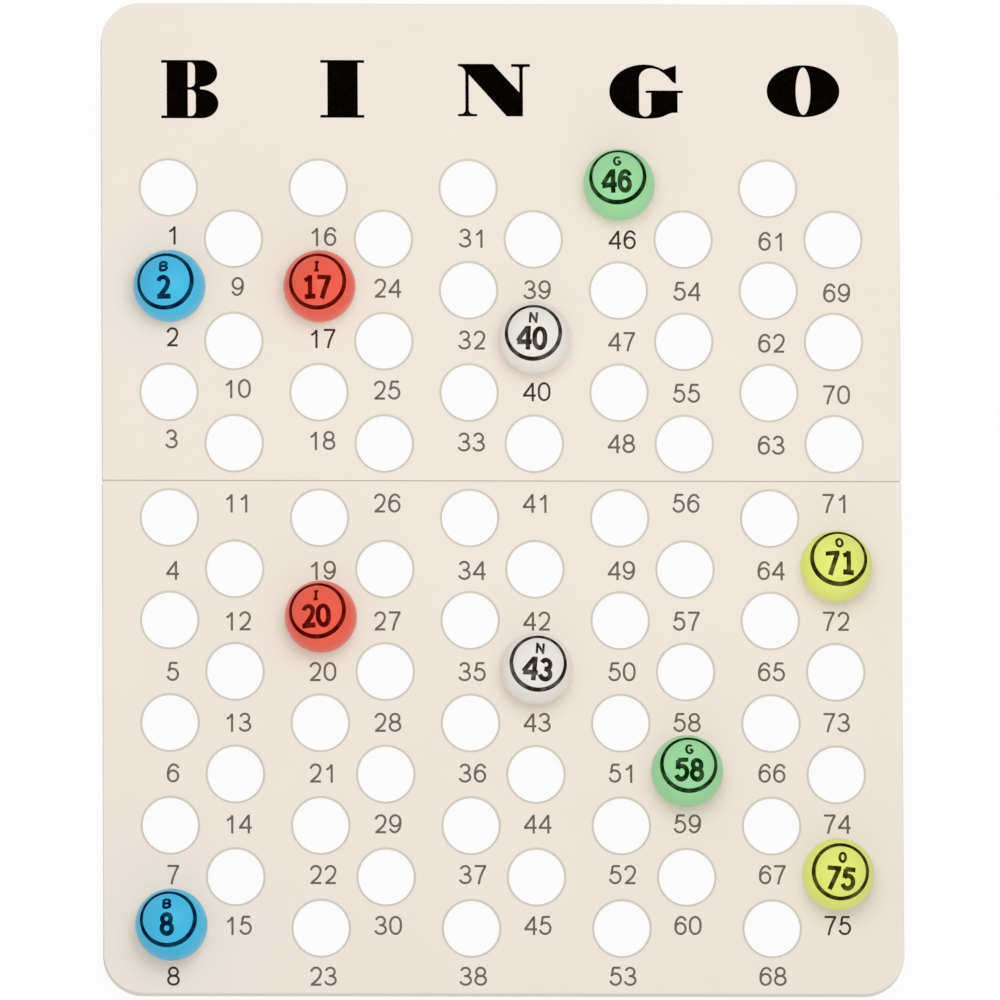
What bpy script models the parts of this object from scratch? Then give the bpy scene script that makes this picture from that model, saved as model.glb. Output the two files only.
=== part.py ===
"""Folding bingo master board: two moulded tray panels joined by a pinned seam hinge, on rubber feet,
with numbered balls standing in some of the seats.

The board lies face up. +X runs along a row to the right, +Y runs up the board to its header and +Z is up.
The origin is on the table, under the middle of the board. Panels, feet and balls are laid out from the
seam: their y is counted from it, and their z from the hinge axis.
"""

import math

import bmesh
import bpy

# Driving dimensions, in metres
BOARD_WIDTH = 0.420
UPPER_DEPTH = 0.2545
LOWER_DEPTH = 0.2724
PANEL_HEIGHT = 0.011
PLATE = 0.003
SKIRT = 0.0025
SEAM_GAP = 0.0008
CORNER_RADIUS = 0.021
SEAM_CORNER_RADIUS = 0.0015
EDGE_CHAMFER = 0.0012

# Seats: five letters, each with a left column of eight and a right column of seven
LETTERS = "bingo"
SEATS_PER_LETTER = 15
LEFT_COLUMN_SEATS = 8
UPPER_ROWS = 3
LETTER_PITCH = 0.0789
COLUMN_PITCH = 0.0342
SEAM_TO_FIRST_ROW = 0.0198
HALF_ROW_PITCH = 0.02725
SEAT_BORE_RADIUS = 0.0146
SEAT_RIM_RADIUS = 0.0160
SEAT_RIM_DEPTH = 0.0014
SEAT_SIDES = 16

# Balls: hollow shells, each with a small vent at the bottom, and the seat that each one stands in
BALL_RADIUS = 0.01905
BALL_WALL = 0.0010
BALL_VENT_RADIUS = 0.0010
BALL_ABOVE_FACE = 0.01165
BALL_SIDES = 18
BALL_RINGS = 9
BALL_INSIDE_RINGS = 5
BALLS = {"b2": 2, "b8": 8, "i17": 17, "i20": 20, "n40": 40, "n43": 43, "g46": 46, "g58": 59, "o71": 72, "o75": 75}

# Seam hinge: the axis lies just under the panels' rims, so that they fold back to back
AXIS_HEIGHT = 0.0033
RIM_ABOVE_AXIS = 0.0002
KNUCKLE_RADIUS = 0.0030
KNUCKLE_LENGTH = 0.0160
KNUCKLE_GAP = 0.0004
KNUCKLE_SIDES = 16
NOTCH_CLEARANCE = 0.0004
PIN_RADIUS = 0.0010
PIN_BORE_RADIUS = 0.00135
PIN_SIDES = 12
HINGE_PLACES = {"left": -0.150, "middle": 0.0, "right": 0.150}

# Stiffening ribs between the letters, and bosses that carry the feet
RIB_WIDTH = 0.0018
RIB_HEIGHT = 0.004
BOSS_RADIUS = 0.006
BOSS_ABOVE_RIM = 0.0005
BOSS_SIDES = 16
FOOT_TOP_RADIUS = 0.0050
FOOT_BASE_RADIUS = 0.0046
FOOT_SIDES = 16
FAR_FOOT_INSET = (0.0135, 0.0105)
SEAM_FOOT_SIDE_INSET = 0.010
UPPER_SEAM_FOOT = 0.012
LOWER_SEAM_FOOT = 0.034

# Fit between neighbours, and how far a fused or cutting shape runs past a face
GAP = 0.0003
PAST = 0.001

# Worked out from the above
SEAM_Y = (LOWER_DEPTH - UPPER_DEPTH) / 2
RIM_Z = RIM_ABOVE_AXIS
FACE_Z = RIM_Z + PANEL_HEIGHT
PLATE_Z = FACE_Z - PLATE
BOSS_Z = RIM_Z + BOSS_ABOVE_RIM
FLOOR_Z = -AXIS_HEIGHT
HINGE_LENGTH = 3 * KNUCKLE_LENGTH + 2 * KNUCKLE_GAP

# Colours as (red, green, blue) in linear light, roughness and metallic
CREAM = ((0.82, 0.74, 0.66), 0.45, 0.0)
RUBBER = ((0.03, 0.03, 0.03), 0.8, 0.0)
STEEL = ((0.55, 0.55, 0.56), 0.3, 1.0)
BALL_COLOURS = {
    "b": ((0.04, 0.43, 0.76), 0.45, 0.0),
    "i": ((0.82, 0.10, 0.07), 0.45, 0.0),
    "n": ((0.78, 0.76, 0.72), 0.45, 0.0),
    "g": ((0.28, 0.70, 0.32), 0.45, 0.0),
    "o": ((0.66, 0.76, 0.12), 0.45, 0.0),
}


def seat_place(number):
    """The x of a seat, and its y from the seam, for a seat number from 1 to 75."""
    letter, place = divmod(number - 1, SEATS_PER_LETTER)
    right = place >= LEFT_COLUMN_SEATS
    row = place - LEFT_COLUMN_SEATS if right else place
    x = (letter - (len(LETTERS) - 1) / 2) * LETTER_PITCH + (COLUMN_PITCH if right else -COLUMN_PITCH) / 2
    if row < UPPER_ROWS:
        steps = 2 * (UPPER_ROWS - 1 - row) + (0 if right else 1)
        return x, SEAM_TO_FIRST_ROW + steps * HALF_ROW_PITCH
    steps = 2 * (row - UPPER_ROWS) + (1 if right else 0)
    return x, -(SEAM_TO_FIRST_ROW + steps * HALF_ROW_PITCH)


def clear_scene():
    for old in list(bpy.data.objects):
        bpy.data.objects.remove(old)


def material(name, looks):
    colour, roughness, metallic = looks
    made = bpy.data.materials.new(name)
    made.use_nodes = True
    shader = made.node_tree.nodes["Principled BSDF"]
    shader.inputs["Base Color"].default_value = (*colour, 1.0)
    shader.inputs["Roughness"].default_value = roughness
    shader.inputs["Metallic"].default_value = metallic
    return made


def place(name, bm, looks=None, parent=None, location=(0, 0, 0)):
    """A named object from a bmesh. One with no looks is a cutter or a fused shape, which stays out of the model."""
    bmesh.ops.recalc_face_normals(bm, faces=bm.faces)
    mesh = bpy.data.meshes.new(name)
    bm.to_mesh(mesh)
    bm.free()
    made = bpy.data.objects.new(name, mesh)
    bpy.context.scene.collection.objects.link(made)
    made.parent = parent
    made.location = location
    if looks:
        mesh.materials.append(material(name, looks))
    else:
        made.hide_render = True
        made.display_type = "WIRE"
    return made


def smooth(made):
    made.data.shade_smooth()
    made.data.set_sharp_from_angle(angle=math.radians(40))


def boolean(made, operation, other):
    step = made.modifiers.new(other.name, "BOOLEAN")
    step.operation = operation
    step.object = other
    step.solver = "EXACT"


def arc(centre, radius, start, end, steps):
    """Points on an arc, with the angles in degrees."""
    angles = [math.radians(start + (end - start) * i / steps) for i in range(steps + 1)]
    return [(centre[0] + radius * math.cos(a), centre[1] + radius * math.sin(a)) for a in angles]


def panel_outline(side, depth, inset=0.0):
    """A panel's outline on one side of the seam (+1 upper, -1 lower), counterclockwise, moved in by inset."""
    half = BOARD_WIDTH / 2 - inset
    near, far = SEAM_GAP / 2 + inset, depth - inset
    seam_radius = max(SEAM_CORNER_RADIUS - inset, 0.0005)
    far_radius = CORNER_RADIUS - inset
    points = []
    points += arc((half - seam_radius, near + seam_radius), seam_radius, -90, 0, 2)
    points += arc((half - far_radius, far - far_radius), far_radius, 0, 90, 8)
    points += arc((-half + far_radius, far - far_radius), far_radius, 90, 180, 8)
    points += arc((-half + seam_radius, near + seam_radius), seam_radius, 180, 270, 2)
    return [(x, side * y) for x, y in points][::side]


def add_prism(bm, outline, low, high):
    """Extrudes an outline from low to high, and returns the faces of its top."""
    base = bm.faces.new([bm.verts.new((x, y, low)) for x, y in outline])
    raised = bmesh.ops.extrude_face_region(bm, geom=[base], use_keep_orig=True)["geom"]
    lifted = [item for item in raised if isinstance(item, bmesh.types.BMVert)]
    bmesh.ops.translate(bm, verts=lifted, vec=(0, 0, high - low))
    return [item for item in raised if isinstance(item, bmesh.types.BMFace)]


def add_box(bm, low, high):
    (x0, y0, z0), (x1, y1, z1) = low, high
    add_prism(bm, [(x0, y0), (x1, y0), (x1, y1), (x0, y1)], z0, z1)


def add_turned(bm, centre, profile, sides):
    """A closed shape turned about the vertical through centre, from (radius, z) pairs, lowest first."""
    rings = []
    for radius, z in profile:
        turns = [2 * math.pi * i / sides for i in range(sides)]
        rings.append(
            [bm.verts.new((centre[0] + radius * math.cos(t), centre[1] + radius * math.sin(t), z)) for t in turns]
        )
    for below, above in zip(rings, rings[1:]):
        for i in range(sides):
            j = (i + 1) % sides
            bm.faces.new((below[i], below[j], above[j], above[i]))
    bm.faces.new(rings[0][::-1])
    bm.faces.new(rings[-1])


def add_rod(bm, x0, x1, radius, sides):
    """A round bar along the hinge axis."""
    rings = []
    for x in (x0, x1):
        turns = [2 * math.pi * (i + 0.5) / sides for i in range(sides)]
        rings.append([bm.verts.new((x, radius * math.cos(t), radius * math.sin(t))) for t in turns])
    for i in range(sides):
        j = (i + 1) % sides
        bm.faces.new((rings[0][i], rings[0][j], rings[1][j], rings[1][i]))
    bm.faces.new(rings[0][::-1])
    bm.faces.new(rings[1])


def knuckle_spans(side):
    """The x spans of a panel's hinge knuckles: the upper panel has the middle one of each three."""
    step = KNUCKLE_LENGTH + KNUCKLE_GAP
    offsets = [0] if side > 0 else [-step, step]
    return [
        (x + o - KNUCKLE_LENGTH / 2, x + o + KNUCKLE_LENGTH / 2) for x in HINGE_PLACES.values() for o in offsets
    ]


def feet_places(side, depth):
    """The name, x and y of each of a panel's feet."""
    far_x, far_y = BOARD_WIDTH / 2 - FAR_FOOT_INSET[0], depth - FAR_FOOT_INSET[1]
    seam_x = BOARD_WIDTH / 2 - SEAM_FOOT_SIDE_INSET
    seam_y = UPPER_SEAM_FOOT if side > 0 else LOWER_SEAM_FOOT
    return [
        ("far_left", -far_x, side * far_y),
        ("far_right", far_x, side * far_y),
        ("seam_left", -seam_x, side * seam_y),
        ("seam_right", seam_x, side * seam_y),
    ]


def panel_inside(name, side, depth):
    """The hollow under the plate."""
    bm = bmesh.new()
    add_prism(bm, panel_outline(side, depth, SKIRT), RIM_Z - PAST, PLATE_Z)
    return place(name + "_inside", bm)


def panel_supports(name, side, depth):
    """What is moulded under the plate: ribs between the letters and bosses for the feet."""
    bm = bmesh.new()
    for gap in range(len(LETTERS) - 1):
        x = (gap + 0.5 - (len(LETTERS) - 1) / 2) * LETTER_PITCH
        ends = sorted((side * (SEAM_GAP / 2 + SKIRT - PAST), side * (depth - SKIRT + PAST)))
        low = (x - RIB_WIDTH / 2, ends[0], PLATE_Z - RIB_HEIGHT)
        add_box(bm, low, (x + RIB_WIDTH / 2, ends[1], PLATE_Z + PAST))
    for _, x, y in feet_places(side, depth):
        add_turned(bm, (x, y), [(BOSS_RADIUS, BOSS_Z), (BOSS_RADIUS, PLATE_Z + PAST)], BOSS_SIDES)
    return place(name + "_supports", bm)


def panel_knuckles(name, side):
    bm = bmesh.new()
    for x0, x1 in knuckle_spans(side):
        add_rod(bm, x0, x1, KNUCKLE_RADIUS, KNUCKLE_SIDES)
    return place(name + "_knuckles", bm)


def panel_notches(name, side):
    """Room in the seam wall for the other panel's knuckles."""
    bm = bmesh.new()
    for x0, x1 in knuckle_spans(-side):
        ends = sorted((0.0, side * (SEAM_GAP / 2 + SKIRT + PAST)))
        low = (x0 - NOTCH_CLEARANCE, ends[0], RIM_Z - PAST)
        add_box(bm, low, (x1 + NOTCH_CLEARANCE, ends[1], KNUCKLE_RADIUS + NOTCH_CLEARANCE))
    return place(name + "_notches", bm)


def panel_pin_bores(name):
    bm = bmesh.new()
    for x in HINGE_PLACES.values():
        half = HINGE_LENGTH / 2 + PAST
        add_rod(bm, x - half, x + half, PIN_BORE_RADIUS, PIN_SIDES)
    return place(name + "_pin_bores", bm)


def panel_seats(name, side):
    """The round seats: a straight bore with a coned rim that a ball rests on."""
    bm = bmesh.new()
    profile = [
        (SEAT_BORE_RADIUS, PLATE_Z - PAST),
        (SEAT_BORE_RADIUS, FACE_Z - SEAT_RIM_DEPTH),
        (SEAT_RIM_RADIUS, FACE_Z),
        (SEAT_RIM_RADIUS, FACE_Z + PAST),
    ]
    for number in range(1, SEATS_PER_LETTER * len(LETTERS) + 1):
        x, y = seat_place(number)
        if y * side > 0:
            add_turned(bm, (x, y), profile, SEAT_SIDES)
    return place(name + "_seats", bm)


def make_panel(name, side, depth, parent):
    bm = bmesh.new()
    top = add_prism(bm, panel_outline(side, depth), RIM_Z, FACE_Z)
    edges = [edge for face in top for edge in face.edges]
    bmesh.ops.bevel(bm, geom=edges, offset=EDGE_CHAMFER, segments=1, affect="EDGES")
    panel = place(name, bm, CREAM, parent)
    smooth(panel)
    for operation, other in (
        ("DIFFERENCE", panel_inside(name, side, depth)),
        ("UNION", panel_supports(name, side, depth)),
        ("DIFFERENCE", panel_notches(name, side)),
        ("UNION", panel_knuckles(name, side)),
        ("DIFFERENCE", panel_pin_bores(name)),
        ("DIFFERENCE", panel_seats(name, side)),
    ):
        other.parent = parent
        boolean(panel, operation, other)


def make_feet(name, side, depth, parent):
    height = BOSS_Z - GAP - FLOOR_Z
    for place_name, x, y in feet_places(side, depth):
        bm = bmesh.new()
        add_turned(bm, (0, 0), [(FOOT_BASE_RADIUS, 0), (FOOT_TOP_RADIUS, height)], FOOT_SIDES)
        smooth(place(f"foot_{name}_{place_name}", bm, RUBBER, parent, (x, y, FLOOR_Z)))


def make_pins(parent):
    for name, x in HINGE_PLACES.items():
        bm = bmesh.new()
        add_rod(bm, -HINGE_LENGTH / 2, HINGE_LENGTH / 2, PIN_RADIUS, PIN_SIDES)
        smooth(place(f"hinge_pin_{name}", bm, STEEL, parent, (x, 0, 0)))


def ball_profile():
    """Half a section of a ball, as (x, z): down the outside, in through the vent and up the inside."""
    inside = BALL_RADIUS - BALL_WALL
    outside_angles = [math.pi * i / BALL_RINGS for i in range(BALL_RINGS)]
    inside_angles = [math.pi * i / BALL_INSIDE_RINGS for i in range(BALL_INSIDE_RINGS)]
    outer = [(BALL_RADIUS * math.sin(a), BALL_RADIUS * math.cos(a)) for a in outside_angles]
    inner = [(inside * math.sin(a), inside * math.cos(a)) for a in inside_angles]
    vent = [(BALL_VENT_RADIUS, -math.sqrt(r * r - BALL_VENT_RADIUS**2)) for r in (BALL_RADIUS, inside)]
    return outer + vent + inner[::-1]


def make_balls(parents):
    for name, number in BALLS.items():
        x, y = seat_place(number)
        bm = bmesh.new()
        points = [bm.verts.new((r, 0, z)) for r, z in ball_profile()]
        for first, second in zip(points, points[1:]):
            bm.edges.new((first, second))
        at = (x, y, FACE_Z + BALL_ABOVE_FACE)
        ball = place(f"ball_{name}", bm, BALL_COLOURS[name[0]], parents[y > 0], at)
        turn = ball.modifiers.new("turn", "SCREW")
        turn.axis = "Z"
        turn.steps = BALL_SIDES
        turn.render_steps = BALL_SIDES
        turn.use_merge_vertices = True
        turn.merge_threshold = 1e-5
        turn.use_smooth_shade = True


def empty(name):
    made = bpy.data.objects.new(name, None)
    bpy.context.scene.collection.objects.link(made)
    made.location = (0, SEAM_Y, AXIS_HEIGHT)
    return made


clear_scene()
base = empty("board_base")
fold = empty("fold_axis")
make_panel("lower_panel", -1, LOWER_DEPTH, base)
make_panel("upper_panel", 1, UPPER_DEPTH, fold)
make_feet("lower", -1, LOWER_DEPTH, base)
make_feet("upper", 1, UPPER_DEPTH, fold)
make_pins(base)
make_balls({False: base, True: fold})
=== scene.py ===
# %% [markdown]
# A folding bingo master board: two cream plastic trays joined at a seam, rows of round seats with a printed
# number under each, and a few coloured balls standing in their seats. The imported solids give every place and
# size. This lesson dresses them: smooth mouldings, printed numbers, printed balls, rubber feet and steel pins.

# %% Load the solids
import math

import bmesh
import bpy
from mathutils import Matrix, Vector


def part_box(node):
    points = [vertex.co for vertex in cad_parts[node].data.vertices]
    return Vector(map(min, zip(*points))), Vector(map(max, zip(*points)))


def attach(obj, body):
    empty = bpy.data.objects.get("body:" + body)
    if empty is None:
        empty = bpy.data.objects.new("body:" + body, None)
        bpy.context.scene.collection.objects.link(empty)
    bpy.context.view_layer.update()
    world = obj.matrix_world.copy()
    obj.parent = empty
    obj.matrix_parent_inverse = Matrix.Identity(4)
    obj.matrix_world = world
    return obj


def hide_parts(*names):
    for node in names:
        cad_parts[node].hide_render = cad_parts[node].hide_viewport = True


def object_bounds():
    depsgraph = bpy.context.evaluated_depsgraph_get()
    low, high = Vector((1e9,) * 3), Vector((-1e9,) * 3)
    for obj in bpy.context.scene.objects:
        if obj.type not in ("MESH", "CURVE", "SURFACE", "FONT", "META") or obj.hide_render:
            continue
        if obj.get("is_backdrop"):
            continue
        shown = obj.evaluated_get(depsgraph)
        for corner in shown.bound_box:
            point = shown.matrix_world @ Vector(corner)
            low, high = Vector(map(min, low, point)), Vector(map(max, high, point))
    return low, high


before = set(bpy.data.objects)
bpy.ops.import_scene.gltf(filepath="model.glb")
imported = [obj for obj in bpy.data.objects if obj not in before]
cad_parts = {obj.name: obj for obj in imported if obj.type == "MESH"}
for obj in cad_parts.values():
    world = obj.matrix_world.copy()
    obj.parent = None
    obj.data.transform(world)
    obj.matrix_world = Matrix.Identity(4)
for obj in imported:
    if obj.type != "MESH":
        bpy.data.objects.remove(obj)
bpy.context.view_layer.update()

# %% [markdown]
# The board was photographed from almost straight above, and its sides stay parallel. A long lens far away gives
# the same flat look. A lean of nine degrees from the near side shows a little of the front wall and lifts the
# balls off the middle of their seats. A smaller one from the left and a slight roll set the rows a little askew.

# %% Camera
SEAM_Y = 0.00895
FACE_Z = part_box("lower_panel")[1].z
LENS_MM = 1200
SENSOR_MM = 36
PICTURE_WIDTH = 0.5254
NEAR_LEAN = math.radians(9.28)
LEFT_LEAN = math.radians(2.4)
ROLL = math.radians(0.28)
AIM = Vector((-0.0011, -0.00127, FACE_Z))

leans = Matrix.Rotation(-LEFT_LEAN, 4, "Y") @ Matrix.Rotation(NEAR_LEAN, 4, "X")
camera_turn = leans @ Matrix.Rotation(-ROLL, 4, "Z")
distance = PICTURE_WIDTH * LENS_MM / SENSOR_MM
bpy.ops.object.camera_add(location=AIM + camera_turn @ Vector((0, 0, distance)), rotation=camera_turn.to_euler())
camera = bpy.context.object
camera.data.sensor_width = SENSOR_MM
camera.data.lens = LENS_MM
bpy.context.scene.camera = camera
bpy.context.scene.view_settings.view_transform = "Standard"
print("camera distance:", round(distance, 2), "m")

# %% [markdown]
# The light is a white tent: even light from all round, one broad lamp high behind the board that gives the balls
# their soft shadows, and a weaker fill from in front that lifts their near sides and casts no shadow of its own.
# The world shows the camera plain white, and lights the board at its own, lower level. The helpers that add and
# link shader nodes start here.

# %% Studio light
AMBIENT = 0.66
LAMP_PLACE = Vector((0.03, 0.17, 1.10))
LAMP_SIZE = 0.8
LAMP_WATTS = 3.4
FILL_FROM = Vector((0.0, -1.00, 0.47))
FILL_SPREAD = math.radians(70)
FILL_STRENGTH = 0.44


def add_node(tree, kind, **values):
    """A node with some of its settings or inputs set by name."""
    node = tree.nodes.new(kind)
    for name, value in values.items():
        if hasattr(node, name):
            setattr(node, name, value)
        else:
            node.inputs[name].default_value = value
    return node


def feed(tree, given, socket):
    """Links an input to another node's output, or sets it to a plain value."""
    if isinstance(given, bpy.types.NodeSocket):
        tree.links.new(given, socket)
    else:
        socket.default_value = given


def worked(tree, operation, *values):
    """What a Math node makes of some values."""
    made = add_node(tree, "ShaderNodeMath", operation=operation)
    for value, socket in zip(values, made.inputs):
        feed(tree, value, socket)
    return made.outputs[0]


def grey(value):
    return value, value, value, 1


def aimed_from(place):
    """The rotation that points a light at the board from there."""
    return (-place).to_track_quat("-Z", "Y").to_euler()


def seen_straight(tree):
    """1 for rays from the camera, from a mirror or through glass, which should all see the white backdrop."""
    path = add_node(tree, "ShaderNodeLightPath").outputs
    either = worked(tree, "MAXIMUM", path["Is Camera Ray"], path["Is Glossy Ray"])
    return worked(tree, "MAXIMUM", either, path["Is Transmission Ray"])


world = bpy.data.worlds.new("white_tent")
bpy.context.scene.world = world
world.use_nodes = True
tree = world.node_tree
tree.nodes.clear()
tent = add_node(tree, "ShaderNodeBackground", Color=grey(1), Strength=AMBIENT)
backdrop = add_node(tree, "ShaderNodeBackground", Color=grey(1), Strength=1.0)
choose = add_node(tree, "ShaderNodeMixShader")
output = add_node(tree, "ShaderNodeOutputWorld")
tree.links.new(seen_straight(tree), choose.inputs[0])
tree.links.new(tent.outputs[0], choose.inputs[1])
tree.links.new(backdrop.outputs[0], choose.inputs[2])
tree.links.new(choose.outputs[0], output.inputs[0])

bpy.ops.object.light_add(type="AREA", location=LAMP_PLACE, rotation=aimed_from(LAMP_PLACE))
lamp = bpy.context.object
lamp.name = "overhead_lamp"
lamp.data.shape = "DISK"
lamp.data.size = LAMP_SIZE
lamp.data.energy = LAMP_WATTS

bpy.ops.object.light_add(type="SUN", location=FILL_FROM, rotation=aimed_from(FILL_FROM))
fill = bpy.context.object
fill.name = "front_fill"
fill.data.angle = FILL_SPREAD
fill.data.energy = FILL_STRENGTH
fill.data.use_shadow = False
print("lights:", lamp.name, fill.name)

# %% [markdown]
# The floor is plain and pale. The camera sees mostly the white behind it and a little of its own shading, so it
# reads as white paper that still holds the board's soft shadow. It throws back only part of the light that
# falls on it, which keeps the seats' walls and the board's edges a little darker than its face.

# %% Floor
FLOOR_SIZE = 8
FLOOR_Z = -0.0002
PAPER_GREY = 0.9
FLOOR_SHADING = 0.06
FLOOR_BOUNCE = 0.45

bpy.ops.mesh.primitive_plane_add(size=FLOOR_SIZE, location=(0, 0, FLOOR_Z))
floor = bpy.context.object
floor.name = "floor"
floor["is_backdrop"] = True
paper = bpy.data.materials.new("white_paper")
paper.use_nodes = True
tree = paper.node_tree
tree.nodes.clear()
matte = add_node(tree, "ShaderNodeBsdfDiffuse", Color=grey(PAPER_GREY))
clear = add_node(tree, "ShaderNodeBsdfTransparent")
shown = add_node(tree, "ShaderNodeMixShader", Fac=FLOOR_SHADING)
tree.links.new(clear.outputs[0], shown.inputs[1])
tree.links.new(matte.outputs[0], shown.inputs[2])
bounce = add_node(tree, "ShaderNodeBsdfDiffuse", Color=grey(FLOOR_BOUNCE))
choose = add_node(tree, "ShaderNodeMixShader")
output = add_node(tree, "ShaderNodeOutputMaterial")
tree.links.new(seen_straight(tree), choose.inputs[0])
tree.links.new(bounce.outputs[0], choose.inputs[1])
tree.links.new(shown.outputs[0], choose.inputs[2])
tree.links.new(choose.outputs[0], output.inputs[0])
floor.data.materials.append(paper)
print("floor at", round(1000 * floor.location.z, 2), "mm")

# %% [markdown]
# The finishes come before the pieces, so that every piece can take its material as soon as it is made. Each of
# them varies by a noise texture on Object coordinates. These helpers add that noise, swing a value about its
# middle with it, lighten or darken a colour by the result, and blend two colours.

# %% Noise for the finishes
def noise(tree, coordinates, scale, detail):
    made = add_node(tree, "ShaderNodeTexNoise", Detail=detail)
    tree.links.new(coordinates, made.inputs["Vector"])
    feed(tree, scale, made.inputs["Scale"])
    return made.outputs["Fac"]


def about(tree, value, middle, amount):
    """The middle, plus how far a noise is from its own middle, times an amount."""
    return worked(tree, "MULTIPLY_ADD", worked(tree, "SUBTRACT", value, 0.5), amount, middle)


def shaded(tree, colour, factor):
    """A colour made lighter or darker by a factor near 1."""
    made = add_node(tree, "ShaderNodeVectorMath", operation="SCALE")
    feed(tree, colour, made.inputs[0])
    feed(tree, factor, made.inputs["Scale"])
    return made.outputs[0]


def mixed(tree, factor, first, second):
    """A blend of two colours. A Mix node has its colours at inputs 6 and 7, and their blend at output 2."""
    made = add_node(tree, "ShaderNodeMix", data_type="RGBA")
    feed(tree, factor, made.inputs["Factor"])
    feed(tree, first, made.inputs[6])
    feed(tree, second, made.inputs[7])
    return made.outputs[2]


print("noise helpers ready")

# %% [markdown]
# Moulded plastic is never one flat colour. Its colour drifts a little over a hand's width, its gloss is patchy,
# and the mould leaves a fine grain. The trays, the balls and the feet share this as one node group, each with
# its own amounts.

# %% Moulded grain
GLOSS_PATCH_SCALE = 70.0
GLOSS_PATCH_SWING = 0.16


def new_group(name, inputs, outputs):
    group = bpy.data.node_groups.new(name, "ShaderNodeTree")
    for socket, kind, value in inputs:
        made = group.interface.new_socket(socket, in_out="INPUT", socket_type=kind)
        made.default_value = value
    for socket, kind in outputs:
        group.interface.new_socket(socket, in_out="OUTPUT", socket_type=kind)
    return group, group.nodes.new("NodeGroupInput").outputs, group.nodes.new("NodeGroupOutput").inputs


moulded, given, result = new_group(
    "moulded_grain",
    [
        ("Color", "NodeSocketColor", (0.8, 0.8, 0.8, 1)),
        ("Drift", "NodeSocketFloat", 0.05),
        ("Drift Scale", "NodeSocketFloat", 12.0),
        ("Roughness", "NodeSocketFloat", 0.45),
        ("Grain Scale", "NodeSocketFloat", 1500.0),
    ],
    [("Color", "NodeSocketColor"), ("Roughness", "NodeSocketFloat"), ("Height", "NodeSocketFloat")],
)
where = moulded.nodes.new("ShaderNodeTexCoord").outputs["Object"]
drift = about(moulded, noise(moulded, where, given["Drift Scale"], 3.0), 1.0, given["Drift"])
feed(moulded, shaded(moulded, given["Color"], drift), result["Color"])
patches = noise(moulded, where, GLOSS_PATCH_SCALE, 2.0)
feed(moulded, about(moulded, patches, given["Roughness"], GLOSS_PATCH_SWING), result["Roughness"])
feed(moulded, noise(moulded, where, given["Grain Scale"], 2.0), result["Height"])
print("group:", moulded.name)

# %% [markdown]
# The trays are satin cream plastic. The mouths of the seats have a rougher cream of their own. It is also darker,
# as painted shade for the shadow that gathers in each seat's mouth. The feet are dull black rubber.

# %% Tray and foot finishes
GRAIN_DEPTH = 0.0001
PLASTIC_SPECULAR = 0.3


def linear(red, green, blue):
    """A colour given in the 0 to 255 steps of a screen, as linear light."""
    steps = [v / 255 for v in (red, green, blue)]
    return tuple(v / 12.92 if v <= 0.04045 else ((v + 0.055) / 1.055) ** 2.4 for v in steps) + (1.0,)


def finish_named(name):
    made = bpy.data.materials.new(name)
    made.use_nodes = True
    return made, made.node_tree, made.node_tree.nodes["Principled BSDF"]


def use_group(tree, group, values):
    node = tree.nodes.new("ShaderNodeGroup")
    node.node_tree = group
    for name, value in values.items():
        node.inputs[name].default_value = value
    return node


def moulded_finish(name, colour, roughness, drift, drift_scale, grain_scale, relief):
    made, tree, shader = finish_named(name)
    amounts = {"Color": colour, "Roughness": roughness, "Drift": drift, "Drift Scale": drift_scale}
    grain = use_group(tree, moulded, {**amounts, "Grain Scale": grain_scale})
    bump = add_node(tree, "ShaderNodeBump", Strength=relief, Distance=GRAIN_DEPTH)
    feed(tree, grain.outputs["Height"], bump.inputs["Height"])
    feed(tree, bump.outputs["Normal"], shader.inputs["Normal"])
    feed(tree, grain.outputs["Color"], shader.inputs["Base Color"])
    feed(tree, grain.outputs["Roughness"], shader.inputs["Roughness"])
    shader.inputs["Specular IOR Level"].default_value = PLASTIC_SPECULAR
    return made


CREAM = linear(241, 232, 221)
# Painted shade: a darker cream for the seats' mouths, standing in for the shadow inside each seat.
SEAT_SHADE_CREAM = linear(218, 209, 197)
cream_plastic = moulded_finish(
    "cream_plastic", CREAM, roughness=0.48, drift=0.05, drift_scale=9.0, grain_scale=1400.0, relief=0.12
)
seat_shade_plastic = moulded_finish(
    "seat_mouth_painted_shade", SEAT_SHADE_CREAM, roughness=0.60, drift=0.10, drift_scale=90.0, grain_scale=900.0, relief=0.2
)
black_rubber = moulded_finish(
    "black_rubber", linear(44, 43, 42), roughness=0.75, drift=0.25, drift_scale=300.0, grain_scale=2200.0, relief=0.5
)
print("finishes:", cream_plastic.name, seat_shade_plastic.name, black_rubber.name)

# %% [markdown]
# The balls are a slightly smoother plastic in their letter's colour. Their bright tint would stain the cream
# round each seat more than it does on the real board, so most of it is held back from the light that they throw
# about. Light Path tells such a ray from one that looks at the ball. A little sheen lifts their rims.

# %% Ball finishes
COLOURS = {"b": "blue", "i": "red", "n": "white", "g": "green", "o": "yellow"}
BALL_TINTS = {
    "b": linear(59, 188, 231),
    "i": linear(240, 89, 65),
    "n": linear(240, 236, 230),
    "g": linear(155, 221, 160),
    "o": linear(232, 241, 117),
}
HELD_BACK = 0.65
BALL_SHEEN = 0.22


def ball_finish(name, tint):
    made = moulded_finish(name, tint, roughness=0.40, drift=0.06, drift_scale=60.0, grain_scale=2600.0, relief=0.08)
    tree, shader = made.node_tree, made.node_tree.nodes["Principled BSDF"]
    shader.inputs["Sheen Weight"].default_value = BALL_SHEEN
    path = add_node(tree, "ShaderNodeLightPath").outputs
    held = worked(tree, "MULTIPLY", path["Is Diffuse Ray"], HELD_BACK)
    own = shader.inputs["Base Color"].links[0].from_socket
    feed(tree, mixed(tree, held, own, CREAM), shader.inputs["Base Color"])
    return made


ball_plastic = {letter: ball_finish(f"ball_plastic_{COLOURS[letter]}", tint) for letter, tint in BALL_TINTS.items()}
print("ball plastics:", len(ball_plastic))

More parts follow.
